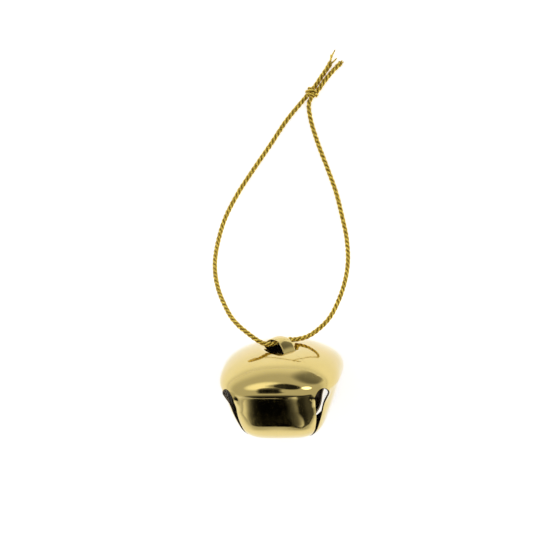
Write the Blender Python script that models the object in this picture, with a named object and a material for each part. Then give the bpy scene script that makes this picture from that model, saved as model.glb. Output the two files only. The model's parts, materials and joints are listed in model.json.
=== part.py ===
"""A pressed-metal jingle bell lying on its side, with a hanging cord tied through its loop.

Metres, +Z up from the table. The bell's own axis lies in the YZ plane and leans up by the
petals' taper, so that the petal underneath rests flat on the table. +Y points to the cord's knot.
"""

import math

import bmesh
import bpy
from mathutils import Matrix, Vector

MM = 0.001

# Bell shell: one pressing, with a domed top and four petals folded down from it.
FLAT_HALF_WIDTH = 14.7 * MM  # from the axis to a petal, at the fold
DOME_HEIGHT = 7.3 * MM
DOME_FULLNESS = 2.25  # 2 is an ellipse, more has squarer shoulders
WALL_THICKNESS = 0.45 * MM
PETAL_TAPER = math.radians(20)
PETAL_STRAIGHT_HEIGHT = 9.9 * MM
BELL_DEPTH = 14.4 * MM  # from the fold down to the flat end
SQUARENESS_AT_FOLD = 2.8  # exponent of the cross-section: 2 is round
SQUARENESS_BELOW = 4.6
SQUARE_BY = 0.9  # share of the straight petal at which the section is at its squarest
ROUNDING_POWER = 10  # how soon the dome's section turns round above the fold
PETAL_CROWN = 0.015  # how far the round would stand over a petal's flat, as a share
CROWN_DEPTH = 5.7 * MM  # below the fold, where a petal's flat is at its full width
PETAL_TIP_HALF_WIDTH = 0.7 * MM

# Slots between the petals: a round hole under the fold, then a taper to the flat end.
HOLE_RADIUS = 1.9 * MM
HOLE_CENTRE_HEIGHT = -1.1 * MM
HOLE_ARC = math.radians(150)  # of the round, from its top, before the straight slot takes over
SLOT_HALF_WIDTH_TOP = 1.9 * MM
SLOT_HALF_WIDTH_END = 0.25 * MM

# Bridge loop: a strip of the dome's own sheet, pushed up over the window that it leaves.
BRIDGE_CHORD = 9.6 * MM
BRIDGE_WIDTH = 3.2 * MM
BRIDGE_THICKNESS = 0.36 * MM  # drawn thinner than the sheet
BRIDGE_RISE = 2.6 * MM
BRIDGE_FULLNESS = 2.3  # 2 is a parabola, more has squarer shoulders
BRIDGE_TURN = math.radians(-50)  # in plan, towards a slot
WINDOW_SIDE_GAP = 0.2 * MM
WINDOW_BULGE = 1.1 * MM  # how far its long edges are bent apart at their middle
FOOT_LENGTH = 0.7 * MM
FOOT_DEPTH = 0.08 * MM

# Loose pellet, at rest on the lower petal.
PELLET_RADIUS = 3.0 * MM
PELLET_ALONG_AXIS = -6.0 * MM

# Cord
CORD_DIAMETER = 1.0 * MM
KNOT_RADIUS = 1.45 * MM
KNOT_HEIGHT = 2.3 * MM
TOUCH_GAP = 0.3 * MM  # left between pieces that touch
HINGE_OVER_DOME = 1.0 * MM  # where the cord hangs from the strip

# The cord's line from the knot, down its left leg, through the bridge and back up its right leg,
# and its two tails, in millimetres from the bell's equator centre in plan and from the table.
KNOT_CENTRE = (6.5, 68.0, 1.2)
BRIDGE_POINT = (0.0, 7.8, 16.6)
LOOP_ROUTE = (
    (4.9, 67.1, 0.9),
    (0.0, 61.6, 0.55),
    (-4.1, 55.8, 0.55),
    (-8.3, 50.0, 0.55),
    (-12.2, 44.3, 0.9),
    (-15.2, 38.4, 2.4),
    (-16.7, 32.6, 5.0),
    (-17.0, 26.7, 8.6),
    (-15.6, 20.9, 12.4),
    (-12.6, 15.3, 16.0),
    (-10.0, 12.2, 17.9),
    (-6.3, 9.3, 19.1),
    (-3.8, 7.7, 19.1),
    (-1.9, 7.3, 18.1),
    BRIDGE_POINT,
    (1.9, 8.3, 15.1),
    (3.7, 8.3, 14.0),
    (6.6, 9.1, 12.9),
    (9.9, 11.6, 11.8),
    (12.2, 14.7, 10.7),
    (14.3, 20.3, 8.2),
    (15.1, 26.2, 5.2),
    (14.6, 32.1, 2.8),
    (13.3, 37.9, 1.3),
    (11.8, 43.8, 0.65),
    (9.8, 49.6, 0.55),
    (7.6, 55.6, 0.55),
    (5.9, 61.5, 0.55),
    (5.7, 65.9, 0.9),
)
LONG_TAIL_ROUTE = (
    (7.1, 69.6, 0.8),
    (8.2, 71.2, 0.6),
    (9.3, 72.7, 0.55),
    (10.3, 74.1, 0.55),
    (11.0, 75.2, 0.55),
)
SHORT_TAIL_ROUTE = (
    (8.0, 68.8, 0.8),
    (9.2, 70.5, 0.6),
    (10.5, 72.1, 0.55),
    (11.9, 73.6, 0.55),
    (13.6, 75.2, 0.55),
)
CORD_POINT_SPACING = 2.0 * MM

# Mesh density
PETAL_COLUMNS = 12
DOME_ROWS = 11
HOLE_ROWS = 7
PETAL_ROWS = 7
CURL_ROWS = 7
END_ROWS = 3


def clear_scene():
    for obj in list(bpy.data.objects):
        bpy.data.objects.remove(obj)


def metal(name, colour, roughness):
    material = bpy.data.materials.new(name)
    material.use_nodes = True
    shader = material.node_tree.nodes["Principled BSDF"]
    shader.inputs["Base Color"].default_value = (*colour, 1)
    shader.inputs["Roughness"].default_value = roughness
    shader.inputs["Metallic"].default_value = 1
    return material


def add_object(name, data, parent, material=None):
    obj = bpy.data.objects.new(name, data)
    bpy.context.scene.collection.objects.link(obj)
    obj.parent = parent
    if material:
        data.materials.append(material)
    return obj


def add_empty(name, location, tilt=0.0):
    empty = bpy.data.objects.new(name, None)
    bpy.context.scene.collection.objects.link(empty)
    empty.location = location
    empty.rotation_euler = (tilt, 0, 0)
    return empty


def mesh_from(bm, name):
    bmesh.ops.recalc_face_normals(bm, faces=bm.faces)
    mesh = bpy.data.meshes.new(name)
    bm.to_mesh(mesh)
    bm.free()
    mesh.shade_smooth()
    return mesh


def as_helper(obj):
    obj.hide_render = True
    obj.display_type = "WIRE"


def add_boolean(obj, other, operation):
    modifier = obj.modifiers.new(operation.title(), "BOOLEAN")
    modifier.operation = operation
    modifier.solver = "EXACT"
    modifier.object = other


# Shell


def smoothstep(x):
    x = min(max(x, 0.0), 1.0)
    return x * x * (3 - 2 * x)


def dome_half_width(height):
    """Half-width across the flats of the dome at a height over the fold."""
    share = 1 - (height / DOME_HEIGHT) ** DOME_FULLNESS
    return FLAT_HALF_WIDTH * max(share, 0.0) ** (1 / DOME_FULLNESS)


def dome_height_at(radius):
    share = 1 - (radius / FLAT_HALF_WIDTH) ** DOME_FULLNESS
    return DOME_HEIGHT * share ** (1 / DOME_FULLNESS)


def squareness(height, half_width):
    """Exponent of the cross-section: round at the pole, squarer down the petals."""
    if height > 0:
        return 2 + (SQUARENESS_AT_FOLD - 2) * (half_width / FLAT_HALF_WIDTH) ** ROUNDING_POWER
    fall = smoothstep(-height / (SQUARE_BY * PETAL_STRAIGHT_HEIGHT))
    return SQUARENESS_AT_FOLD + (SQUARENESS_BELOW - SQUARENESS_AT_FOLD) * fall


def corner_radius(half_width, exponent):
    return half_width * 2 ** (0.5 - 1 / exponent)


def slot_half_width(height):
    """Half-width of a slot at a height, with the round hole at its upper end."""
    below = HOLE_CENTRE_HEIGHT - height
    hole = math.sqrt(max(HOLE_RADIUS**2 - below**2, 0))
    if below < 0:
        return hole
    share = (1 - below / (BELL_DEPTH + HOLE_CENTRE_HEIGHT)) ** 2
    slot = SLOT_HALF_WIDTH_END + (SLOT_HALF_WIDTH_TOP - SLOT_HALF_WIDTH_END) * share
    return max(hole, slot)


def shell_rows():
    """(height, half-width, slot half-width) of each row of the shell, from the pole down."""
    rows = []
    hole_top = HOLE_CENTRE_HEIGHT + HOLE_RADIUS
    lowest_angle = math.acos(hole_top / DOME_HEIGHT)
    for i in range(1, DOME_ROWS + 1):
        height = DOME_HEIGHT * math.cos(lowest_angle * i / DOME_ROWS)
        rows.append((height, dome_half_width(height), 0.0))
    for i in range(1, HOLE_ROWS + 1):
        height = HOLE_CENTRE_HEIGHT + HOLE_RADIUS * math.cos(HOLE_ARC * i / HOLE_ROWS)
        half_width = dome_half_width(height) if height > 0 else petal_half_width(height)
        rows.append((height, half_width, slot_half_width(height)))
    start = rows[-1][0]
    for i in range(1, PETAL_ROWS + 1):
        height = start + (-PETAL_STRAIGHT_HEIGHT - start) * i / PETAL_ROWS
        rows.append((height, petal_half_width(height), slot_half_width(height)))
    return rows + curl_rows() + end_rows()


def petal_half_width(height):
    return FLAT_HALF_WIDTH + height * math.tan(PETAL_TAPER)


def curl_radius():
    """Radius of the bend that brings a petal round from its taper to the flat end."""
    return (BELL_DEPTH - PETAL_STRAIGHT_HEIGHT) / (1 - math.sin(PETAL_TAPER))


def curl_rows():
    radius = curl_radius()
    start_width = petal_half_width(-PETAL_STRAIGHT_HEIGHT)
    rows = []
    for i in range(1, CURL_ROWS + 1):
        angle = PETAL_TAPER + (math.pi / 2 - PETAL_TAPER) * i / CURL_ROWS
        height = -PETAL_STRAIGHT_HEIGHT - radius * (math.sin(angle) - math.sin(PETAL_TAPER))
        half_width = start_width - radius * (math.cos(PETAL_TAPER) - math.cos(angle))
        rows.append((height, half_width, slot_half_width(height)))
    return rows


def end_rows():
    """Rows across the flat end, in to the petals' tips."""
    edge = curl_rows()[-1][1]
    rows = []
    for i in range(1, END_ROWS + 1):
        half_width = edge + (PETAL_TIP_HALF_WIDTH - edge) * i / END_ROWS
        rows.append((-BELL_DEPTH, half_width, SLOT_HALF_WIDTH_END))
    return rows


def section_point(height, half_width, angle):
    """Point of the cross-section at an angle from a petal's middle, as (across, out)."""
    exponent = squareness(height, half_width)
    across, out = math.sin(angle), math.cos(angle)
    crowned = half_width * (1 + PETAL_CROWN * smoothstep(-height / CROWN_DEPTH))
    radius = crowned * (abs(across) ** exponent + abs(out) ** exponent) ** (-1 / exponent)
    return radius * across, min(radius * out, half_width)


def petal_line(height, half_width, slot):
    """Points across one petal and its share of the dome, for one row."""
    corner = corner_radius(half_width, squareness(height, half_width))
    reach = math.atan(1 - 2 * slot / corner)
    return [
        section_point(height, half_width, reach * (2 * i / PETAL_COLUMNS - 1))
        for i in range(PETAL_COLUMNS + 1)
    ]


def shell_skin():
    """Outer skin of dome and petals, as an open sheet with its slots."""
    bm = bmesh.new()
    rows = shell_rows()
    for side in range(4):
        turn = Matrix.Rotation(side * math.pi / 2, 3, "Z")
        grid = []
        for height, half_width, slot in rows:
            line = petal_line(height, half_width, slot)
            grid.append([bm.verts.new(turn @ Vector((x, -out, height))) for x, out in line])
        for upper, lower in zip(grid, grid[1:]):
            for i in range(PETAL_COLUMNS):
                bm.faces.new((upper[i], lower[i], lower[i + 1], upper[i + 1]))
    bmesh.ops.remove_doubles(bm, verts=bm.verts, dist=1e-7)
    bmesh.ops.recalc_face_normals(bm, faces=bm.faces)
    mesh = bpy.data.meshes.new("bell_shell")
    bm.to_mesh(mesh)
    bm.free()
    mesh.shade_smooth()
    return mesh


def bridge_stations():
    """The strip's middle line as (along, height), from one buried foot to the other."""
    half = BRIDGE_CHORD / 2
    arch_steps = 14
    foot = (half + FOOT_LENGTH, dome_height_at(half + FOOT_LENGTH) - FOOT_DEPTH)
    stations = []
    for i in range(arch_steps + 1):
        along = half * (2 * i / arch_steps - 1)
        rise = BRIDGE_RISE * (1 - abs(along / half) ** BRIDGE_FULLNESS) - FOOT_DEPTH
        stations.append((along, dome_height_at(abs(along)) + rise))
    return [(-foot[0], foot[1])] + stations + [foot]


def bridge_strip():
    """The bent strip, as a closed solid."""
    stations = bridge_stations()
    bm = bmesh.new()
    rings = []
    for i, (along, height) in enumerate(stations):
        before, after = stations[max(i - 1, 0)], stations[min(i + 1, len(stations) - 1)]
        slope = Vector((after[0] - before[0], after[1] - before[1])).normalized()
        inner = (along + BRIDGE_THICKNESS * slope.y, height - BRIDGE_THICKNESS * slope.x)
        ring = []
        for x, z in ((along, height), inner):
            ring.append(bm.verts.new((x, -BRIDGE_WIDTH / 2, z)))
            ring.append(bm.verts.new((x, BRIDGE_WIDTH / 2, z)))
        rings.append([ring[0], ring[1], ring[3], ring[2]])
    for a, b in zip(rings, rings[1:]):
        for i in range(4):
            bm.faces.new((a[i], a[(i + 1) % 4], b[(i + 1) % 4], b[i]))
    bm.faces.new(rings[0])
    bm.faces.new(rings[-1])
    return mesh_from(bm, "bridge_strip")


def window_cutter():
    """Lens-shaped block that cuts the window out of the dome, under the strip."""
    steps = 12
    depth = 2 * MM
    half = (BRIDGE_CHORD - WINDOW_SIDE_GAP) / 2
    outline = []
    for side in (-1, 1):
        for i in range(steps + 1):
            share = side * (2 * i / steps - 1)
            across = BRIDGE_WIDTH / 2 + WINDOW_SIDE_GAP + WINDOW_BULGE * (1 - share**2)
            outline.append((-half * share, side * across))
    bm = bmesh.new()
    floor = bm.faces.new([bm.verts.new((x, y, -depth)) for x, y in outline])
    block = bmesh.ops.extrude_face_region(bm, geom=[floor])
    raised = [item for item in block["geom"] if isinstance(item, bmesh.types.BMVert)]
    bmesh.ops.translate(bm, vec=(0, 0, 2 * depth), verts=raised)
    bmesh.ops.recalc_face_normals(bm, faces=bm.faces)
    return mesh_from(bm, "bridge_window")


def make_shell(parent, material):
    shell = add_object("bell_shell", shell_skin(), parent, material)
    wall = shell.modifiers.new("Wall", "SOLIDIFY")
    wall.thickness = WALL_THICKNESS
    wall.offset = -1
    wall.use_even_offset = True
    window = add_object("bridge_window", window_cutter(), parent)
    window.location = (0, 0, DOME_HEIGHT)
    window.rotation_euler = (0, 0, BRIDGE_TURN)
    strip = add_object("bridge_strip", bridge_strip(), parent)
    strip.rotation_euler = (0, 0, BRIDGE_TURN)
    for helper, operation in ((window, "DIFFERENCE"), (strip, "UNION")):
        as_helper(helper)
        add_boolean(shell, helper, operation)
    return shell


# Pellet and cord


def ball_mesh(name, radius, height, segments, rings):
    bm = bmesh.new()
    bmesh.ops.create_uvsphere(bm, u_segments=segments, v_segments=rings, radius=radius)
    bmesh.ops.scale(bm, vec=(1, 1, height / (2 * radius)), verts=bm.verts)
    return mesh_from(bm, name)


def smooth_line(route, spacing):
    """Points about a spacing apart on the smooth curve through a route's points."""
    points = [Vector(p) * MM for p in route]
    ends = [2 * points[0] - points[1]] + points + [2 * points[-1] - points[-2]]
    fine = []
    steps = 12
    for before, start, end, after in zip(ends, ends[1:], ends[2:], ends[3:]):
        for i in range(steps):
            t = i / steps
            bend = (2 * before - 5 * start + 4 * end - after) * t * t
            turn = (3 * start - before - 3 * end + after) * t**3
            fine.append((2 * start + (end - before) * t + bend + turn) / 2)
    fine.append(points[-1])
    travelled = [0.0]
    for a, b in zip(fine, fine[1:]):
        travelled.append(travelled[-1] + (b - a).length)
    count = max(round(travelled[-1] / spacing), 2)
    line, place = [], 0
    for i in range(count + 1):
        target = travelled[-1] * i / count
        while place < len(fine) - 2 and travelled[place + 1] < target:
            place += 1
        share = (target - travelled[place]) / (travelled[place + 1] - travelled[place])
        line.append(fine[place].lerp(fine[place + 1], share))
    return line


def make_cord_tube(name, route, middle, parent, material):
    """Plain tube along a route; parent stands at the cord's hinge."""
    curve = bpy.data.curves.new(name, "CURVE")
    curve.dimensions = "3D"
    curve.bevel_depth = CORD_DIAMETER / 2
    curve.bevel_resolution = 2
    curve.use_fill_caps = True
    line = smooth_line(route, CORD_POINT_SPACING)
    spline = curve.splines.new("POLY")
    spline.points.add(len(line) - 1)
    for spot, point in zip(spline.points, line):
        spot.co = (*(point + middle - parent.location), 1)
    return add_object(name, curve, parent, material)


def main():
    clear_scene()
    brass = metal("polished_brass", (0.83, 0.62, 0.26), 0.12)
    steel = metal("plain_steel", (0.55, 0.55, 0.53), 0.35)
    gold_thread = metal("gold_thread", (0.72, 0.47, 0.09), 0.35)

    lean = Vector((0, math.cos(PETAL_TAPER), math.sin(PETAL_TAPER)))
    bell_axis = add_empty("bell_axis", (0, 0, 0), PETAL_TAPER - math.pi / 2)
    shell = make_shell(bell_axis, brass)

    # The bell's box stands centred on the origin, with its lower petal on the table.
    bpy.context.view_layer.update()
    evaluated = shell.evaluated_get(bpy.context.evaluated_depsgraph_get())
    corners = [shell.matrix_world @ v.co for v in evaluated.to_mesh().vertices]
    middle_y = (min(c.y for c in corners) + max(c.y for c in corners)) / 2
    evaluated.to_mesh_clear()
    equator = Vector((0, -middle_y, FLAT_HALF_WIDTH * math.cos(PETAL_TAPER)))
    bell_axis.location = equator
    middle = Vector((0, equator.y, 0))

    rest = equator + lean * PELLET_ALONG_AXIS
    rest.z = WALL_THICKNESS + TOUCH_GAP + PELLET_RADIUS
    pellet_mesh = ball_mesh("jingle_pellet", PELLET_RADIUS, 2 * PELLET_RADIUS, 24, 16)
    pellet_place = add_empty("pellet_place", rest)
    add_object("jingle_pellet", pellet_mesh, pellet_place, steel)

    hinge = equator + lean * (DOME_HEIGHT + HINGE_OVER_DOME)
    cord_hinge = add_empty("cord_hinge", hinge)
    make_cord_tube("cord_loop", LOOP_ROUTE, middle, cord_hinge, gold_thread)
    make_cord_tube("cord_tail_long", LONG_TAIL_ROUTE, middle, cord_hinge, gold_thread)
    make_cord_tube("cord_tail_short", SHORT_TAIL_ROUTE, middle, cord_hinge, gold_thread)
    knot_mesh = ball_mesh("cord_knot", KNOT_RADIUS, KNOT_HEIGHT, 16, 10)
    knot = add_object("cord_knot", knot_mesh, cord_hinge, gold_thread)
    knot.location = Vector(KNOT_CENTRE) * MM + middle - cord_hinge.location


main()
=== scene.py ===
"""Looks of a gold jingle bell lying on a pale table, with its twisted metallic hanging cord."""

import json
import math

import bmesh
import bpy
from mathutils import Matrix, Vector, noise


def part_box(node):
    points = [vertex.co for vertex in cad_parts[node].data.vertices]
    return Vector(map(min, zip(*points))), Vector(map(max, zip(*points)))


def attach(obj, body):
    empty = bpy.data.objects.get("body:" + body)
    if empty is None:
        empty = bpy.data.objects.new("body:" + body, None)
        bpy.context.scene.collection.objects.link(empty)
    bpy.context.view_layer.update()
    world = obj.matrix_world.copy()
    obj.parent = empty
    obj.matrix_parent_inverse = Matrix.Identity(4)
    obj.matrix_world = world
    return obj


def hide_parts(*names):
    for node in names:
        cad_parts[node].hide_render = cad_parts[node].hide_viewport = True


MM = 0.001

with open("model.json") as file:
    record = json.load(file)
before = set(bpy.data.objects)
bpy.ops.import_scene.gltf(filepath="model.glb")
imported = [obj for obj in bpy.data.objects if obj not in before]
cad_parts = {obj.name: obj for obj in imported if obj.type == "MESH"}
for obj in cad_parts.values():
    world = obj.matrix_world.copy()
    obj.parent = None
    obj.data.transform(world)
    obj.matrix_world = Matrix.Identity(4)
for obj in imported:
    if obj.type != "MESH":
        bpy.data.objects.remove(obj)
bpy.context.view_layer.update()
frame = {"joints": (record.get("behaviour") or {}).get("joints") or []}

# Sizes of the CAD shell, which the fine shell follows.
FLAT_HALF_WIDTH = 14.7 * MM  # from the axis to a petal, at the fold
DOME_HEIGHT = 7.3 * MM
DOME_FULLNESS = 2.25  # 2 is an ellipse, more has squarer shoulders
WALL_THICKNESS = 0.45 * MM
PETAL_TAPER = math.radians(20)
PETAL_STRAIGHT_HEIGHT = 9.9 * MM
BELL_DEPTH = 14.4 * MM  # from the fold down to the flat end
SQUARENESS_AT_FOLD = 2.8  # exponent of the cross-section: 2 is round
SQUARENESS_BELOW = 4.6
SQUARE_BY = 0.9  # share of the straight petal at which the section is at its squarest
ROUNDING_POWER = 10  # how soon the dome's section turns round above the fold
PETAL_TIP_HALF_WIDTH = 0.7 * MM
HOLE_RADIUS = 1.9 * MM
HOLE_CENTRE_HEIGHT = -1.1 * MM
HOLE_ARC = math.radians(150)  # of the round, from its top, before the straight slot takes over
SLOT_HALF_WIDTH_TOP = 1.9 * MM
SLOT_HALF_WIDTH_END = 0.25 * MM
BRIDGE_CHORD = 9.6 * MM
BRIDGE_WIDTH = 3.2 * MM
BRIDGE_THICKNESS = 0.36 * MM
BRIDGE_RISE = 2.6 * MM
BRIDGE_FULLNESS = 2.3  # 2 is a parabola, more has squarer shoulders
BRIDGE_TURN = math.radians(-50)  # in plan, towards a slot
WINDOW_SIDE_GAP = 0.2 * MM
WINDOW_BULGE = 1.1 * MM  # how far its long edges are bent apart at their middle
FOOT_LENGTH = 0.7 * MM
FOOT_DEPTH = 0.08 * MM
HINGE_OVER_DOME = 1.0 * MM

# The petals are numbered from 0 to 3 round the axis. The one underneath stays flat where the
# pellet rolls on it.
LOWER_SIDE = 2

# Small shapes of the pressing that only the looks have: how deep each one is, where it starts and
# how far it reaches.
VALLEY_DEPTH = 0.10 * MM  # groove along the fold
VALLEY_HEIGHT = -0.9 * MM
VALLEY_REACH_UP = 1.6 * MM
VALLEY_REACH_DOWN = 6 * MM
TUCK_DEPTH = 0.14 * MM  # slow hollow down a petal
TUCK_START = 4 * MM
TUCK_LENGTH = 7 * MM
SCOOP_DEPTH = 0.17 * MM  # steeper hollow, just above the curl
SCOOP_START = 8.6 * MM
SCOOP_LENGTH = 2.4 * MM
LIP_HEIGHT = 0.45 * MM  # metal pushed out round a hole
LIP_WIDTH = 1.7 * MM
LIP_REACH_DOWN = 1.6  # as a share of its reach upward, which is the hole's radius
EDGE_BEND = 0.55 * MM  # how far a petal's side edges stand in
EDGE_BEND_LENGTH = 5 * MM
RIPPLE = 0.05 * MM
RIPPLE_ACROSS = 1.6  # how many ripples half a petal's width holds
RIPPLE_LENGTH = 5 * MM
RIPPLE_WIDTH = 9 * MM
RIPPLE_SHIFT = 7.3  # between one petal's ripples and the next petal's
DETAIL_TOP = 0.93 * DOME_HEIGHT  # the dome is plain above this

# The slot between the right petal and the one underneath stands open wider than the others. Its
# two edges are named by their petal, and by whether they are at that petal's positive side.
WIDE_SLOT_EDGES = ((1, True), (2, False))
WIDE_SLOT_EXTRA = 1.2 * MM
WIDE_SLOT_DEPTH = 9.5 * MM
WIDE_SLOT_REACH = 6 * MM

# The bridge loop and the sheet beside it.
BRIDGE_LEAN = 0.9 * MM  # how far its highest point stands off its middle
BRIDGE_CROWN = 0.42 * MM
BRIDGE_CROWN_REACH = 0.6  # share of the chord, to each side, over which the crown dies away
BRIDGE_ROUNDING = 0.12 * MM
WINDOW_DIP = 0.5 * MM
WINDOW_DIP_WIDTH = 1.5 * MM
WINDOW_DIP_FROM = 0.8 * DOME_HEIGHT  # only the top of the dome is pressed down

# The pellet's flat ring, where its forming left it, and its dents.
RING_DEPTH = 0.05 * MM
RING_PLACE = 0.1  # its height over the middle, as a share of the radius
RING_REACH = 0.12
DENT_DEPTH = 0.06 * MM
DENT_SCALE = 3.1
DENT_RARITY = 0.25  # what the noise has to pass before there is a dent

# Fineness of the meshes.
SHELL_COLUMNS = 56
BRIDGE_COLUMNS = 10
BRIDGE_STEPS = 40
WELD_DISTANCE = 0.02 * MM

# Where the bell is: the cord's hinge stands on its axis, over the dome.
LEAN = Vector((0, math.cos(PETAL_TAPER), math.sin(PETAL_TAPER)))
HINGE = Vector(next(j for j in frame["joints"] if j["name"] == "cord_swing")["pos_m"])
EQUATOR = HINGE - LEAN * (DOME_HEIGHT + HINGE_OVER_DOME)
BELL_PLACE = Matrix.Translation(EQUATOR) @ Matrix.Rotation(PETAL_TAPER - math.pi / 2, 4, "X")

# The cord's route, as the CAD has it: millimetres from the equator's centre in plan and from the table.
CORD_ORIGIN = Vector((0, EQUATOR.y, 0))
KNOT_CENTRE = (6.5, 68.0, 1.2)
BRIDGE_POINT = (0.0, 7.8, 16.6)
LOOP_ROUTE = (
    (4.9, 67.1, 0.9),
    (0.0, 61.6, 0.55),
    (-4.1, 55.8, 0.55),
    (-8.3, 50.0, 0.55),
    (-12.2, 44.3, 0.9),
    (-15.2, 38.4, 2.4),
    (-16.7, 32.6, 5.0),
    (-17.0, 26.7, 8.6),
    (-15.6, 20.9, 12.4),
    (-12.6, 15.3, 16.0),
    (-10.0, 12.2, 17.9),
    (-6.3, 9.3, 19.1),
    (-3.8, 7.7, 19.1),
    (-1.9, 7.3, 18.1),
    BRIDGE_POINT,
    (1.9, 8.3, 15.1),
    (3.7, 8.3, 14.0),
    (6.6, 9.1, 12.9),
    (9.9, 11.6, 11.8),
    (12.2, 14.7, 10.7),
    (14.3, 20.3, 8.2),
    (15.1, 26.2, 5.2),
    (14.6, 32.1, 2.8),
    (13.3, 37.9, 1.3),
    (11.8, 43.8, 0.65),
    (9.8, 49.6, 0.55),
    (7.6, 55.6, 0.55),
    (5.9, 61.5, 0.55),
    (5.7, 65.9, 0.9),
)
LONG_TAIL_ROUTE = (
    (7.1, 69.6, 0.8),
    (8.2, 71.2, 0.6),
    (9.3, 72.7, 0.55),
    (10.3, 74.1, 0.55),
    (11.0, 75.2, 0.55),
)
SHORT_TAIL_ROUTE = (
    (8.0, 68.8, 0.8),
    (9.2, 70.5, 0.6),
    (10.5, 72.1, 0.55),
    (11.9, 73.6, 0.55),
    (13.6, 75.2, 0.55),
)

# Loose strands at the cut ends: where each one's tip is, as the route says it, and its bow in mm.
LONG_TAIL_TIPS = (((11.1, 77.3, 0.5), 0.15), ((12.3, 78.4, 0.9), -0.2), ((12.6, 76.4, 0.4), 0.1))
SHORT_TAIL_TIPS = (((13.9, 75.8, 0.4), 0.0), ((14.3, 75.4, 0.6), 0.0))
FRAY_ROOT_RADIUS = 0.30 * MM
FRAY_TIP_RADIUS = 0.16 * MM
FRAY_ROOT = -4  # which point of the cord's line they come out of, counted from its end
FRAY_MAP_STEP = 0.3  # on the strand map, from one ring of a loose strand to the next
FRAY_MAP_SHIFT = 5  # on the strand map, from one loose strand to the next

# The twist of the cord, which loosens at the end of each run.
STRAND_COUNT = 3
STRAND_RADIUS = 0.30 * MM
STRAND_OFFSET = 0.31 * MM  # from the cord's middle to a strand's
TWIST_LENGTH = 3.7 * MM
RING_SPACING = 0.12 * MM
FILM_TURN = 0.55 * MM  # length of one turn of the film round a strand
FILM_RELIEF = 0.07  # share of the strand's radius
WOBBLE = 0.10  # share of the strand's radius
WOBBLE_LENGTH = 0.9 * MM
LOOSENING = 0.25  # how much wider the twist stands at a cut end
LOOSE_SHARE = 0.03  # of the run's length
OVER_TABLE = 0.01 * MM  # the least height of any point of the cord

# The knot's turns round the two runs that pass through it.
KNOT_TURNS = 1.7
KNOT_START = 0.5  # radians
KNOT_RADIUS = 1.12 * MM
KNOT_LENGTH = 1.5 * MM
KNOT_FLATNESS = 0.75  # its height, as a share of its width
KNOT_HEADING = Vector((0.62, 0.78, 0))
KNOT_SWAY = 0.25 * MM  # how far a turn strays along the knot
KNOT_SWAY_LEAD = 0.6  # radians
KNOT_END_TUCK = 0.5  # how much nearer its middle the two ends are
KNOT_END_SHARE = 0.12

# Camera: nearly straight down on the table, from a little to the right, as a long lens sees it.
CAMERA_SIDE = math.radians(10)
CAMERA_ROLL = math.radians(1)
CAMERA_DISTANCE = 720 * MM
SENSOR_WIDTH = 36  # millimetres, as the camera's lens is
VIEW_WIDTH = 133 * MM
VIEW_CENTRE = EQUATOR + Vector((-0.8 * MM, 23.3 * MM, 0))

# Light of the room, and its patches: towards where, full and faded out at which angles, how much lighter.
HORIZON_LEVEL = 0.95
OVERHEAD_LEVEL = 0.60
OVERHEAD_FROM = 0.4  # height on the unit sphere
BACKDROP_LEVEL = 0.95
ROOM_PATCHES = (
    ((-0.14, -0.98, 0.12), 3, 27, 0.012),  # dark side of the room, towards the mouth
    ((-0.15, -0.90, 0.42), 11, 34, 0.06),  # its upper part
    ((0.38, -0.91, 0.15), 10, 24, 0.08),  # its right part
    ((0.00, -0.99, 0.12), 2, 7, 40),  # light gap in the dark side
    ((0.08, 0.30, 0.95), 13, 20, 0.03),  # camera
    ((-0.21, 0.00, 0.98), 5, 11, 0.1),  # arm that holds it
    ((-0.22, -0.16, 0.96), 5, 10, 0.05),  # middle of that arm
    ((-0.20, -0.31, 0.93), 5, 10, 0.05),  # far end of that arm
    ((0.51, 0.82, 0.26), 13, 27, 0.3),  # furniture on the right
    ((-0.32, 0.32, 0.89), 8, 26, 2.3),  # lamp on the left
    ((0.54, 0.24, 0.81), 6, 12, 6),  # lamp on the right
)

# The table glows near the bell and less further off, and is dimmer towards the dark side of the
# room. The first fade is in metres from the table's middle, the second in metres along Y.
TABLE_RADIUS = 4.0
TABLE_DROP = 0.02 * MM  # below the bell, so that the faces don't meet
TABLE_COLOUR = (0.82, 0.82, 0.82)
TABLE_GLOW_NEAR = 0.66
TABLE_GLOW_FAR = 0.42
TABLE_GLOW_FADE = (0.1, 0.25)
TABLE_DARK_SIDE = 0.6
TABLE_DARK_FADE = (-0.4, -0.07)


# Camera, table and light


def make_camera():
    back = Vector((math.sin(CAMERA_SIDE), 0, math.cos(CAMERA_SIDE)))
    across = Vector((math.cos(CAMERA_SIDE), 0, -math.sin(CAMERA_SIDE)))
    along = Vector((0, 1, 0))
    right = across * math.cos(CAMERA_ROLL) - along * math.sin(CAMERA_ROLL)
    up = across * math.sin(CAMERA_ROLL) + along * math.cos(CAMERA_ROLL)
    data = bpy.data.cameras.new("camera")
    data.sensor_width = SENSOR_WIDTH
    data.lens = SENSOR_WIDTH * CAMERA_DISTANCE / VIEW_WIDTH
    data.clip_start = 0.01
    camera = bpy.data.objects.new("camera", data)
    bpy.context.scene.collection.objects.link(camera)
    place = Matrix((right, up, back)).transposed().to_4x4()
    place.translation = VIEW_CENTRE + back * CAMERA_DISTANCE
    camera.matrix_world = place
    bpy.context.scene.camera = camera


def make_table():
    """Pale table. It glows a little, as an overlit white sweep does, so that it reads as white."""
    bm = bmesh.new()
    bmesh.ops.create_circle(bm, cap_ends=True, radius=TABLE_RADIUS, segments=96)
    table = add_object("table", to_mesh(bm, "table"), table_material())
    table.location.z = -TABLE_DROP


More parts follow.
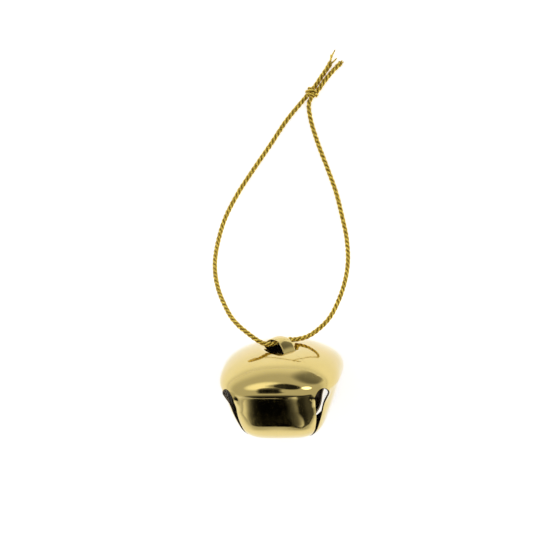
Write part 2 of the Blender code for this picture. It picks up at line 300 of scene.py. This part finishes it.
def table_material():
    material, nodes, links = new_material("table_white")
    shader = nodes["Principled BSDF"]
    shader.inputs["Roughness"].default_value = 0.9
    shader.inputs["Specular IOR Level"].default_value = 0.1
    place = nodes.new("ShaderNodeTexCoord").outputs["Object"]
    distance = nodes.new("ShaderNodeVectorMath")
    distance.operation = "LENGTH"
    links.new(place, distance.inputs[0])
    parts = nodes.new("ShaderNodeSeparateXYZ")
    links.new(place, parts.inputs[0])
    glow_ends = TABLE_GLOW_NEAR, TABLE_GLOW_FAR
    glow = map_range(nodes, links, distance.outputs["Value"], TABLE_GLOW_FADE, glow_ends)
    shade = map_range(nodes, links, parts.outputs["Y"], TABLE_DARK_FADE, (TABLE_DARK_SIDE, 1))
    links.new(multiply(nodes, links, glow, shade), shader.inputs["Emission Strength"])
    shader.inputs["Emission Color"].default_value = (1, 1, 1, 1)
    colour = mix_colour(nodes, links, shade, (0, 0, 0), TABLE_COLOUR)
    links.new(colour, shader.inputs["Base Color"])
    return material


def make_world():
    """Soft white room, dimmer overhead, with the dark and the bright things that the bell mirrors."""
    world = bpy.data.worlds.new("studio")
    world.use_nodes = True
    bpy.context.scene.world = world
    nodes = world.node_tree.nodes
    links = world.node_tree.links
    background = nodes["Background"]
    place = nodes.new("ShaderNodeTexCoord").outputs["Generated"]

    def towards(direction):
        """Cosine of the angle between this direction and the one that is looked at."""
        dot = nodes.new("ShaderNodeVectorMath")
        dot.operation = "DOT_PRODUCT"
        dot.inputs[1].default_value = Vector(direction).normalized()
        links.new(place, dot.inputs[0])
        return dot.outputs["Value"]

    room_ends = HORIZON_LEVEL, OVERHEAD_LEVEL
    level = map_range(nodes, links, towards((0, 0, 1)), (0, OVERHEAD_FROM), room_ends, smooth=True)
    for direction, inner, outer, factor in ROOM_PATCHES:
        edges = math.cos(math.radians(outer)), math.cos(math.radians(inner))
        patch = map_range(nodes, links, towards(direction), edges, (1, factor), smooth=True)
        level = multiply(nodes, links, level, patch)
    mix = nodes.new("ShaderNodeMix")
    mix.inputs["B"].default_value = BACKDROP_LEVEL
    links.new(nodes.new("ShaderNodeLightPath").outputs["Is Camera Ray"], mix.inputs["Factor"])
    links.new(level, mix.inputs["A"])
    links.new(mix.outputs["Result"], background.inputs["Strength"])
    background.inputs["Color"].default_value = (1, 1, 1, 1)


# Helpers


def add_object(name, data, *materials):
    obj = bpy.data.objects.new(name, data)
    bpy.context.scene.collection.objects.link(obj)
    for material in materials:
        data.materials.append(material)
    return obj


def to_mesh(bm, name):
    mesh = bpy.data.meshes.new(name)
    bm.to_mesh(mesh)
    bm.free()
    mesh.shade_smooth()
    return mesh


def apply_modifiers(obj):
    """Leaves the object with the mesh that its modifiers make."""
    bpy.context.view_layer.update()
    graph = bpy.context.evaluated_depsgraph_get()
    mesh = bpy.data.meshes.new_from_object(obj.evaluated_get(graph))
    obj.modifiers.clear()
    obj.data = mesh


def new_material(name):
    material = bpy.data.materials.new(name)
    material.use_nodes = True
    return material, material.node_tree.nodes, material.node_tree.links


def smoothstep(x):
    x = min(max(x, 0.0), 1.0)
    return x * x * (3 - 2 * x)


def hump(x):
    """1 at x = 0, falling smoothly to 0 at -1 and 1."""
    return smoothstep(1 - abs(x))


# Materials


def noise_node(nodes, links, coordinates, scale, detail, stretch=None):
    """Noise texture's value on the given coordinates."""
    texture = nodes.new("ShaderNodeTexNoise")
    texture.inputs["Scale"].default_value = scale
    texture.inputs["Detail"].default_value = detail
    source = coordinates
    if stretch:
        mapping = nodes.new("ShaderNodeMapping")
        mapping.inputs["Scale"].default_value = stretch
        links.new(coordinates, mapping.inputs["Vector"])
        source = mapping.outputs["Vector"]
    links.new(source, texture.inputs["Vector"])
    return texture.outputs["Fac"]


def map_range(nodes, links, value, between, becomes, smooth=False):
    """The value, with the two ends of one range turned into the two ends of another."""
    node = nodes.new("ShaderNodeMapRange")
    if smooth:
        node.interpolation_type = "SMOOTHSTEP"
    node.inputs["From Min"].default_value = between[0]
    node.inputs["From Max"].default_value = between[1]
    node.inputs["To Min"].default_value = becomes[0]
    node.inputs["To Max"].default_value = becomes[1]
    links.new(value, node.inputs["Value"])
    return node.outputs["Result"]


def multiply(nodes, links, first, second):
    node = nodes.new("ShaderNodeMath")
    node.operation = "MULTIPLY"
    links.new(first, node.inputs[0])
    links.new(second, node.inputs[1])
    return node.outputs[0]


def mix_colour(nodes, links, factor, first, second):
    node = nodes.new("ShaderNodeMix")
    node.data_type = "RGBA"
    links.new(factor, node.inputs["Factor"])
    node.inputs["A"].default_value = (*first, 1)
    node.inputs["B"].default_value = (*second, 1)
    return node.outputs["Result"]


def add_bump(nodes, links, height, strength, distance, normal=None):
    node = nodes.new("ShaderNodeBump")
    node.inputs["Strength"].default_value = strength
    node.inputs["Distance"].default_value = distance
    links.new(height, node.inputs["Height"])
    if normal:
        links.new(normal, node.inputs["Normal"])
    return node.outputs["Normal"]


def sheet_metal(name, light, deep, roughness, coat):
    """Pressed sheet: faint stains, orange peel and fine scratches, under a coat or bare."""
    material, nodes, links = new_material(name)
    shader = nodes["Principled BSDF"]
    place = nodes.new("ShaderNodeTexCoord").outputs["Object"]
    cloud = noise_node(nodes, links, place, scale=260, detail=4)
    links.new(mix_colour(nodes, links, cloud, light, deep), shader.inputs["Base Color"])
    scratches = noise_node(nodes, links, place, scale=1500, detail=3, stretch=(1, 0.06, 0.6))
    rough = map_range(nodes, links, scratches, (0.45, 0.75), roughness)
    links.new(rough, shader.inputs["Roughness"])
    peel = noise_node(nodes, links, place, scale=900, detail=2)
    normal = add_bump(nodes, links, peel, strength=0.12, distance=0.03 * MM)
    normal = add_bump(nodes, links, scratches, strength=0.06, distance=0.02 * MM, normal=normal)
    links.new(normal, shader.inputs["Normal"])
    shader.inputs["Metallic"].default_value = 1
    shader.inputs["Coat Weight"].default_value = coat
    shader.inputs["Coat IOR"].default_value = 1.7
    shader.inputs["Coat Roughness"].default_value = 0.04
    return material


def plated_brass():
    """Outside of the bell: bright plating under lacquer."""
    light = (0.71, 0.55, 0.16)
    deep = (0.65, 0.49, 0.12)
    return sheet_metal("plated_brass", light, deep, roughness=(0.06, 0.16), coat=1)


def inside_painted_shade():
    """Inside of the bell and its cut edges: dark with painted shade for the shade inside the bell, and
    without lacquer.
    """
    # Painted shade: both tones are darkened to stand in for the shade that falls inside the bell.
    light = (0.20, 0.16, 0.11)
    deep = (0.12, 0.09, 0.06)
    return sheet_metal("inside_painted_shade", light, deep, roughness=(0.25, 0.4), coat=0)


def dull_steel():
    """Steel of the pellet, stained and finely pitted."""
    material, nodes, links = new_material("pellet_steel")
    shader = nodes["Principled BSDF"]
    place = nodes.new("ShaderNodeTexCoord").outputs["Object"]
    stain = noise_node(nodes, links, place, scale=600, detail=5)
    colour = mix_colour(nodes, links, stain, (0.42, 0.40, 0.38), (0.62, 0.61, 0.60))
    links.new(colour, shader.inputs["Base Color"])
    rough = map_range(nodes, links, stain, (0.3, 0.7), (0.25, 0.5))
    links.new(rough, shader.inputs["Roughness"])
    pits = noise_node(nodes, links, place, scale=2600, detail=2)
    normal = add_bump(nodes, links, pits, strength=0.25, distance=0.04 * MM)
    links.new(normal, shader.inputs["Normal"])
    shader.inputs["Metallic"].default_value = 1
    return material


def gold_foil():
    """Metallised film wound round each strand. Its colour has painted glints on its creases and painted
    shade in the grooves between the strands. The strand map has the length in mm, and how far out from
    the cord's middle."""
    material, nodes, links = new_material("gold_foil")
    shader = nodes["Principled BSDF"]
    strand_map = nodes.new("ShaderNodeUVMap")
    strand_map.uv_map = "strand"
    place = strand_map.outputs["UV"]
    creases_and_glints = noise_node(nodes, links, place, scale=1.0, detail=1, stretch=(2.4, 2.2, 1))
    outward = nodes.new("ShaderNodeSeparateXYZ")
    links.new(place, outward.inputs[0])
    # Painted shade: darker where a strand faces into the cord, in the grooves between the strands.
    painted_groove_shade = map_range(nodes, links, outward.outputs["Y"], (0.70, 0.94), (0, 1))
    # Painted glints: brighter colour on the creases; the same noise also varies the roughness.
    painted_glint = map_range(nodes, links, creases_and_glints, (0.38, 0.55), (0.35, 1))
    shade = multiply(nodes, links, painted_groove_shade, painted_glint)
    # Colour runs from dark brown in the painted groove shade to bright yellow on the painted glints.
    colour = mix_colour(nodes, links, shade, (0.24, 0.12, 0.0), (1.0, 0.75, 0.14))
    links.new(colour, shader.inputs["Base Color"])
    wraps = nodes.new("ShaderNodeTexWave")
    wraps.inputs["Scale"].default_value = 0.9
    wraps.inputs["Distortion"].default_value = 2.5
    links.new(place, wraps.inputs["Vector"])
    normal = add_bump(nodes, links, wraps.outputs["Fac"], strength=0.7, distance=0.08 * MM)
    links.new(normal, shader.inputs["Normal"])
    rough = map_range(nodes, links, creases_and_glints, (0.3, 0.7), (0.30, 0.14))
    links.new(rough, shader.inputs["Roughness"])
    shader.inputs["Metallic"].default_value = 1
    return material


# Bell shell


def dome_half_width(height):
    share = 1 - (height / DOME_HEIGHT) ** DOME_FULLNESS
    return FLAT_HALF_WIDTH * max(share, 0.0) ** (1 / DOME_FULLNESS)


def dome_height_at(radius):
    share = 1 - (radius / FLAT_HALF_WIDTH) ** DOME_FULLNESS
    return DOME_HEIGHT * share ** (1 / DOME_FULLNESS)


def petal_half_width(height):
    return FLAT_HALF_WIDTH + height * math.tan(PETAL_TAPER)


def squareness(height, half_width):
    if height > 0:
        return 2 + (SQUARENESS_AT_FOLD - 2) * (half_width / FLAT_HALF_WIDTH) ** ROUNDING_POWER
    fall = smoothstep(-height / (SQUARE_BY * PETAL_STRAIGHT_HEIGHT))
    return SQUARENESS_AT_FOLD + (SQUARENESS_BELOW - SQUARENESS_AT_FOLD) * fall


def slot_half_width(height):
    below = HOLE_CENTRE_HEIGHT - height
    hole = math.sqrt(max(HOLE_RADIUS**2 - below**2, 0))
    if below < 0:
        return hole
    share = (1 - below / (BELL_DEPTH + HOLE_CENTRE_HEIGHT)) ** 2
    slot = SLOT_HALF_WIDTH_END + (SLOT_HALF_WIDTH_TOP - SLOT_HALF_WIDTH_END) * share
    return max(hole, slot)


def shell_rows(dome=56, hole=20, petal=44, curl=20, end=8):
    """(height, half-width, slot half-width) of each row of the shell, from the pole down."""
    rows = []
    hole_top = HOLE_CENTRE_HEIGHT + HOLE_RADIUS
    lowest_angle = math.acos(hole_top / DOME_HEIGHT)
    for i in range(1, dome + 1):
        height = DOME_HEIGHT * math.cos(lowest_angle * i / dome)
        rows.append((height, dome_half_width(height), 0.0))
    for i in range(1, hole + 1):
        height = HOLE_CENTRE_HEIGHT + HOLE_RADIUS * math.cos(HOLE_ARC * i / hole)
        half_width = dome_half_width(height) if height > 0 else petal_half_width(height)
        rows.append((height, half_width, slot_half_width(height)))
    start = rows[-1][0]
    for i in range(1, petal + 1):
        height = start + (-PETAL_STRAIGHT_HEIGHT - start) * i / petal
        rows.append((height, petal_half_width(height), slot_half_width(height)))
    radius = (BELL_DEPTH - PETAL_STRAIGHT_HEIGHT) / (1 - math.sin(PETAL_TAPER))
    start_width = petal_half_width(-PETAL_STRAIGHT_HEIGHT)
    for i in range(1, curl + 1):
        angle = PETAL_TAPER + (math.pi / 2 - PETAL_TAPER) * i / curl
        height = -PETAL_STRAIGHT_HEIGHT - radius * (math.sin(angle) - math.sin(PETAL_TAPER))
        half_width = start_width - radius * (math.cos(PETAL_TAPER) - math.cos(angle))
        rows.append((height, half_width, slot_half_width(height)))
    edge = rows[-1][1]
    for i in range(1, end + 1):
        half_width = edge + (PETAL_TIP_HALF_WIDTH - edge) * i / end
        rows.append((-BELL_DEPTH, half_width, SLOT_HALF_WIDTH_END))
    return rows


def fold_valley(across, height):
    below = height - VALLEY_HEIGHT
    reach = VALLEY_REACH_UP if below > 0 else VALLEY_REACH_DOWN
    return VALLEY_DEPTH * hump(below / reach) * (1 - abs(across) ** 3)


def petal_hollow(side, across, height):
    if side == LOWER_SIDE:
        return 0.0
    tuck = TUCK_DEPTH * smoothstep((-height - TUCK_START) / TUCK_LENGTH)
    scoop = SCOOP_DEPTH * smoothstep((-height - SCOOP_START) / SCOOP_LENGTH)
    return (tuck + scoop) * (1 - across**2)


def hole_lip(across, height, half_width):
    edge = (1 - abs(across)) * half_width
    over_hole = (height - HOLE_CENTRE_HEIGHT) / HOLE_RADIUS
    reach = hump(over_hole if over_hole > 0 else over_hole / LIP_REACH_DOWN)
    return LIP_HEIGHT * smoothstep(1 - edge / LIP_WIDTH) * reach


def ripple(side, across, height, half_width):
    x = across * RIPPLE_ACROSS + side * RIPPLE_SHIFT
    return RIPPLE * noise.noise(Vector((x, height / RIPPLE_LENGTH, half_width / RIPPLE_WIDTH)))


def pressed_detail(side, across, height, half_width, slot):
    """How far the real pressing stands in (+) or out (-) of the plain shape, at one point.
    across runs from -1 to 1 over a petal."""
    depth = fold_valley(across, height) + petal_hollow(side, across, height)
    depth += EDGE_BEND * across**2 * smoothstep(-height / EDGE_BEND_LENGTH)
    depth += ripple(side, across, height, half_width)
    if slot > 0:
        depth -= hole_lip(across, height, half_width)
    return depth


def shell_point(side, share, height, half_width, slot):
    """Point of a petal or of the dome over it; share runs from -1 to 1 over the petal."""
    exponent = squareness(height, half_width)
    corner = half_width * 2 ** (0.5 - 1 / exponent)
    if slot > 0 and (side, share > 0) in WIDE_SLOT_EDGES:
        slot += WIDE_SLOT_EXTRA * hump((height + WIDE_SLOT_DEPTH) / WIDE_SLOT_REACH)
    angle = math.atan(1 - 2 * slot / corner) * share
    across = math.sin(angle)
    out = math.cos(angle)
    radius = half_width * (abs(across) ** exponent + abs(out) ** exponent) ** (-1 / exponent)
    point = Vector((radius * across, -radius * out, height))
    if -BELL_DEPTH < height < DETAIL_TOP:
        inward = Vector((-point.x, -point.y, 0)).normalized()
        point += inward * pressed_detail(side, share, height, half_width, slot)
    point = Matrix.Rotation(side * math.pi / 2, 3, "Z") @ point
    if height > WINDOW_DIP_FROM:
        point.z -= window_dip(point)
    return point


def window_dip(point):
    """How far the dome is pressed down beside the bridge loop, where its window was sheared."""
    along, across, _ = Matrix.Rotation(-BRIDGE_TURN, 3, "Z") @ point
    share = 1 - (2 * along / BRIDGE_CHORD) ** 2
    if share < 0:
        return 0.0
    window = BRIDGE_WIDTH / 2 + WINDOW_SIDE_GAP + WINDOW_BULGE * share
    return WINDOW_DIP * share * smoothstep(1 - (abs(across) - window) / WINDOW_DIP_WIDTH)


def shell_skin():
    bm = bmesh.new()
    rows = shell_rows()
    shares = [2 * i / SHELL_COLUMNS - 1 for i in range(SHELL_COLUMNS + 1)]
    for side in range(4):
        grid = [[bm.verts.new(shell_point(side, share, *row)) for share in shares] for row in rows]
        add_grid_faces(bm, grid)
    bmesh.ops.remove_doubles(bm, verts=bm.verts, dist=WELD_DISTANCE)
    bmesh.ops.recalc_face_normals(bm, faces=bm.faces)
    return to_mesh(bm, "bell_pressing")


def add_grid_faces(bm, grid):
    for upper, lower in zip(grid, grid[1:]):
        for i in range(len(upper) - 1):
            bm.faces.new((upper[i], lower[i], lower[i + 1], upper[i + 1]))


def window_cutter():
    """Lens-shaped block that cuts the window out of the dome, under the strip."""
    steps = 12
    depth = 2 * MM
    half = (BRIDGE_CHORD - WINDOW_SIDE_GAP) / 2
    outline = []
    for side in (-1, 1):
        for i in range(steps + 1):
            share = side * (2 * i / steps - 1)
            across = BRIDGE_WIDTH / 2 + WINDOW_SIDE_GAP + WINDOW_BULGE * (1 - share**2)
            outline.append((-half * share, side * across))
    bm = bmesh.new()
    floor = bm.faces.new([bm.verts.new((x, y, -depth)) for x, y in outline])
    block = bmesh.ops.extrude_face_region(bm, geom=[floor])
    raised = [item for item in block["geom"] if isinstance(item, bmesh.types.BMVert)]
    bmesh.ops.translate(bm, vec=(0, 0, 2 * depth), verts=raised)
    bmesh.ops.recalc_face_normals(bm, faces=bm.faces)
    cutter = add_object("window_cutter", to_mesh(bm, "window_cutter"))
    place = Matrix.Translation((0, 0, DOME_HEIGHT)) @ Matrix.Rotation(BRIDGE_TURN, 4, "Z")
    cutter.matrix_world = place
    return cutter


def make_bell(brass, inside):
    """The pressing: its skin thickened inwards, with the window cut out of the dome."""
    bell = add_object("bell_pressing", shell_skin(), brass, inside)
    wall = bell.modifiers.new("wall", "SOLIDIFY")
    wall.thickness = WALL_THICKNESS
    wall.offset = -1
    wall.material_offset = 1
    wall.material_offset_rim = 1
    cutter = window_cutter()
    window = bell.modifiers.new("window", "BOOLEAN")
    window.operation = "DIFFERENCE"
    window.object = cutter
    apply_modifiers(bell)
    bpy.data.objects.remove(cutter)
    bell.data.transform(BELL_PLACE)
    bell.data.set_sharp_from_angle(angle=math.radians(40))
    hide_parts("bell_shell")
    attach(bell, "bell")


def bridge_line():
    """The strip's outer line as (along, height), from one buried foot to the other."""
    half = BRIDGE_CHORD / 2
    foot = (half + FOOT_LENGTH, dome_height_at(half + FOOT_LENGTH) - FOOT_DEPTH)
    line = []
    for i in range(BRIDGE_STEPS + 1):
        along = half * (2 * i / BRIDGE_STEPS - 1)
        leant = along - BRIDGE_LEAN * (1 - (along / half) ** 2)
        rise = BRIDGE_RISE * (1 - abs(leant / half) ** BRIDGE_FULLNESS) - FOOT_DEPTH
        line.append((along, dome_height_at(abs(along)) + rise))
    return [(-foot[0], foot[1])] + line + [foot]


def make_bridge(brass):
    """The strip pushed up from the dome, a little crowned across and rounded at its edges."""
    bm = bmesh.new()
    grid = []
    for along, height in bridge_line():
        row = []
        fall = smoothstep(1 - abs(along) / (BRIDGE_CROWN_REACH * BRIDGE_CHORD))
        for i in range(BRIDGE_COLUMNS + 1):
            across = 2 * i / BRIDGE_COLUMNS - 1
            crown = BRIDGE_CROWN * across**2 * fall
            row.append(bm.verts.new((along, across * BRIDGE_WIDTH / 2, height - crown)))
        grid.append(row)
    add_grid_faces(bm, grid)
    bridge = add_object("bell_bridge", to_mesh(bm, "bell_bridge"), brass)
    wall = bridge.modifiers.new("wall", "SOLIDIFY")
    wall.thickness = BRIDGE_THICKNESS
    wall.offset = -1
    rounding = bridge.modifiers.new("rounding", "BEVEL")
    rounding.width = BRIDGE_ROUNDING
    rounding.segments = 3
    rounding.angle_limit = math.radians(50)
    apply_modifiers(bridge)
    bridge.data.transform(BELL_PLACE @ Matrix.Rotation(BRIDGE_TURN, 4, "Z"))
    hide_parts("bell_shell")
    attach(bridge, "bell")


def make_pellet(steel):
    """Loose ball, with the flat ring that its forming left and a few dents."""
    low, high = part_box("jingle_pellet")
    radius = (high.z - low.z) / 2
    bm = bmesh.new()
    bmesh.ops.create_icosphere(bm, subdivisions=5, radius=radius)
    for vertex in bm.verts:
        direction = vertex.co.normalized()
        ring = RING_DEPTH * hump((direction.z - RING_PLACE) / RING_REACH)
        dents = DENT_DEPTH * max(noise.noise(direction * DENT_SCALE) - DENT_RARITY, 0)
        vertex.co = direction * (radius - ring - dents)
    pellet = add_object("pellet", to_mesh(bm, "pellet"), steel)
    pellet.location = (low + high) / 2
    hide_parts("jingle_pellet")
    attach(pellet, "pellet")


# Cord


def on_route(point):
    """Where a point of the cord's route is, in metres."""
    return Vector(point) * MM + CORD_ORIGIN


def smooth_line(route, steps=24):
    """Evenly spaced points on the smooth curve through a route's points."""
    points = [on_route(point) for point in route]
    ends = [2 * points[0] - points[1]] + points + [2 * points[-1] - points[-2]]
    fine = []
    for before, start, end, after in zip(ends, ends[1:], ends[2:], ends[3:]):
        for i in range(steps):
            t = i / steps
            bend = (2 * before - 5 * start + 4 * end - after) * t * t
            turn = (3 * start - before - 3 * end + after) * t**3
            fine.append((2 * start + (end - before) * t + bend + turn) / 2)
    fine.append(points[-1])
    return even_line(fine)


def lengths_along(line):
    """How far along the line each of its points is."""
    travelled = [0.0]
    for a, b in zip(line, line[1:]):
        travelled.append(travelled[-1] + (b - a).length)
    return travelled


def length_of(line):
    return lengths_along(line)[-1]


def even_line(fine):
    """Points one ring spacing apart on a finely drawn line."""
    travelled = lengths_along(fine)
    count = max(round(length_of(fine) / RING_SPACING), 2)
    line = []
    place = 0
    for i in range(count + 1):
        target = travelled[-1] * i / count
        while place < len(fine) - 2 and travelled[place + 1] < target:
            place += 1
        share = (target - travelled[place]) / (travelled[place + 1] - travelled[place])
        line.append(fine[place].lerp(fine[place + 1], share))
    return line


def carried_frames(line):
    """(side, other side) across the line at each point, turned no more than the line needs."""
    frames = []
    side = None
    for i in range(len(line)):
        tangent = (line[min(i + 1, len(line) - 1)] - line[max(i - 1, 0)]).normalized()
        side = tangent.orthogonal() if side is None else side
        side = (side - tangent * side.dot(tangent)).normalized()
        frames.append((side, tangent.cross(side)))
    return frames


def circle_about(centre, across, radius, sides):
    """Points on a circle; across is the pair of directions that carried_frames gives."""
    side, other = across
    angles = [2 * math.pi * i / sides for i in range(sides)]
    return [centre + (side * math.cos(a) + other * math.sin(a)) * radius for a in angles]


def add_tube(bm, rings):
    """Closed tube through rings of (point, place on the strand map), none of it in the table."""
    strand_map = bm.loops.layers.uv.verify()
    grid = []
    for ring in rings:
        row = []
        for point, place in ring:
            point.z = max(point.z, OVER_TABLE)
            row.append((bm.verts.new(point), place))
        grid.append(row)
    sides = len(grid[0])
    for a, b in zip(grid, grid[1:]):
        for i in range(sides):
            after = (i + 1) % sides
            corners = (a[i], a[after], b[after], b[i])
            face = bm.faces.new([vertex for vertex, _ in corners])
            for loop, (_, place) in zip(face.loops, corners):
                loop[strand_map].uv = place
    bm.faces.new([vertex for vertex, _ in reversed(grid[0])])
    bm.faces.new([vertex for vertex, _ in grid[-1]])


def loosening(share):
    """How much wider than usual the twist is, at this share of a run that ends in a cut end."""
    return LOOSENING * smoothstep((share - (1 - LOOSE_SHARE)) / LOOSE_SHARE)


def strand_centres(line, phase, cut_end):
    """The helix that one strand follows about the cord's line."""
    centres = []
    last = len(line) - 1
    for i, ((side, other), travelled) in enumerate(zip(carried_frames(line), lengths_along(line))):
        turn = phase - 2 * math.pi * travelled / TWIST_LENGTH
        offset = STRAND_OFFSET * (1 + (loosening(i / last) if cut_end else 0))
        centres.append(line[i] + (side * math.cos(turn) + other * math.sin(turn)) * offset)
    return centres


def add_strand(bm, line, phase, cut_end, sides=8):
    """One strand of the twist, as a tube round its helix, with the film's turns and a wobble."""
    centres = strand_centres(line, phase, cut_end)
    frames = carried_frames(centres)
    rings = []
    for middle, centre, across, travelled in zip(line, centres, frames, lengths_along(centres)):
        film = 1 + FILM_RELIEF * math.sin(2 * math.pi * travelled / FILM_TURN + phase * 2)
        wobble = 1 + WOBBLE * noise.noise(Vector((travelled / WOBBLE_LENGTH, phase, 0)))
        ring = []
        for point in circle_about(centre, across, STRAND_RADIUS * film * wobble, sides):
            # How far out from the cord's middle; the foil darkens the inner parts by it, as painted
            # shade.
            outward = (point - middle).length / (STRAND_OFFSET + STRAND_RADIUS)
            ring.append((point, Vector((travelled / MM, outward))))
        rings.append(ring)
    add_tube(bm, rings)


def new_strands():
    """Mesh in the making, with the strand map that the foil is drawn on."""
    bm = bmesh.new()
    bm.loops.layers.uv.new("strand")
    return bm


def twisted_cord(name, line, material, cut_end):
    bm = new_strands()
    for strand in range(STRAND_COUNT):
        add_strand(bm, line, 2 * math.pi * strand / STRAND_COUNT, cut_end)
    return add_object(name, to_mesh(bm, name), material)


def make_knot(foil):
    """Overhand knot, drawn as the cord's turns round the two runs that pass through it."""
    middle = on_route(KNOT_CENTRE)
    up = Vector((0, 0, 1))
    across = KNOT_HEADING.cross(up)
    steps = 90
    fine = []
    for i in range(steps + 1):
        share = i / steps
        turn = 2 * math.pi * KNOT_TURNS * share + KNOT_START
        ends = hump(share / KNOT_END_SHARE) + hump((1 - share) / KNOT_END_SHARE)
        radius = KNOT_RADIUS * (1 - KNOT_END_TUCK * ends)
        forward = (share - 0.5) * KNOT_LENGTH + KNOT_SWAY * math.sin(turn + KNOT_SWAY_LEAD)
        spot = middle + KNOT_HEADING * forward + across * math.cos(turn) * radius
        fine.append(spot + up * math.sin(turn) * radius * KNOT_FLATNESS)
    knot = twisted_cord("knot", even_line(fine), foil, cut_end=False)
    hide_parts("cord_knot")
    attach(knot, "cord")
    return knot


def add_fray(bm, start, tip, bow, map_start, steps=10, sides=6):
    """One loose strand, bowed sideways and narrowing to its tip."""
    sideways = (tip - start).cross(Vector((0, 0, 1))).normalized()
    line = []
    for i in range(steps + 1):
        share = i / steps
        line.append(start.lerp(tip, share) + sideways * bow * math.sin(math.pi * share))
    rings = []
    for i, (centre, across) in enumerate(zip(line, carried_frames(line))):
        radius = FRAY_ROOT_RADIUS + (FRAY_TIP_RADIUS - FRAY_ROOT_RADIUS) * i / steps
        place = (map_start + FRAY_MAP_STEP * i, 1)
        rings.append([(point, place) for point in circle_about(centre, across, radius, sides)])
    add_tube(bm, rings)


def make_frays(name, foil, start, tips):
    """Strands that have come loose at a cut end, each on its own stretch of the strand map."""
    bm = new_strands()
    for number, (tip, bow) in enumerate(tips):
        add_fray(bm, start, on_route(tip), bow * MM, FRAY_MAP_SHIFT * number)
    frays = add_object(name, to_mesh(bm, name), foil)
    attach(frays, "cord")
    return frays


def make_cord(foil):
    """One cord in two runs, each from the bridge loop up its leg and through the knot to its tail."""
    bridge = LOOP_ROUTE.index(BRIDGE_POINT)
    left = tuple(reversed(LOOP_ROUTE[: bridge + 1])) + LONG_TAIL_ROUTE
    right = LOOP_ROUTE[bridge:] + SHORT_TAIL_ROUTE
    knot = make_knot(foil)
    runs = (
        ("cord_left", left, "cord_tail_long", LONG_TAIL_TIPS),
        ("cord_right", right, "cord_tail_short", SHORT_TAIL_TIPS),
    )
    for name, route, tail, tips in runs:
        line = smooth_line(route)
        run = twisted_cord(name, line, foil, cut_end=True)
        frays = make_frays(name + "_end", foil, line[FRAY_ROOT], tips)
        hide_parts("cord_loop", tail)
        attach(run, "cord")


def main():
    bpy.context.scene.view_settings.view_transform = "Standard"
    make_camera()
    make_cord(gold_foil())
    make_table()
    make_world()
    brass = plated_brass()
    make_bell(brass, inside_painted_shade())
    make_bridge(brass)
    make_pellet(dull_steel())


main()
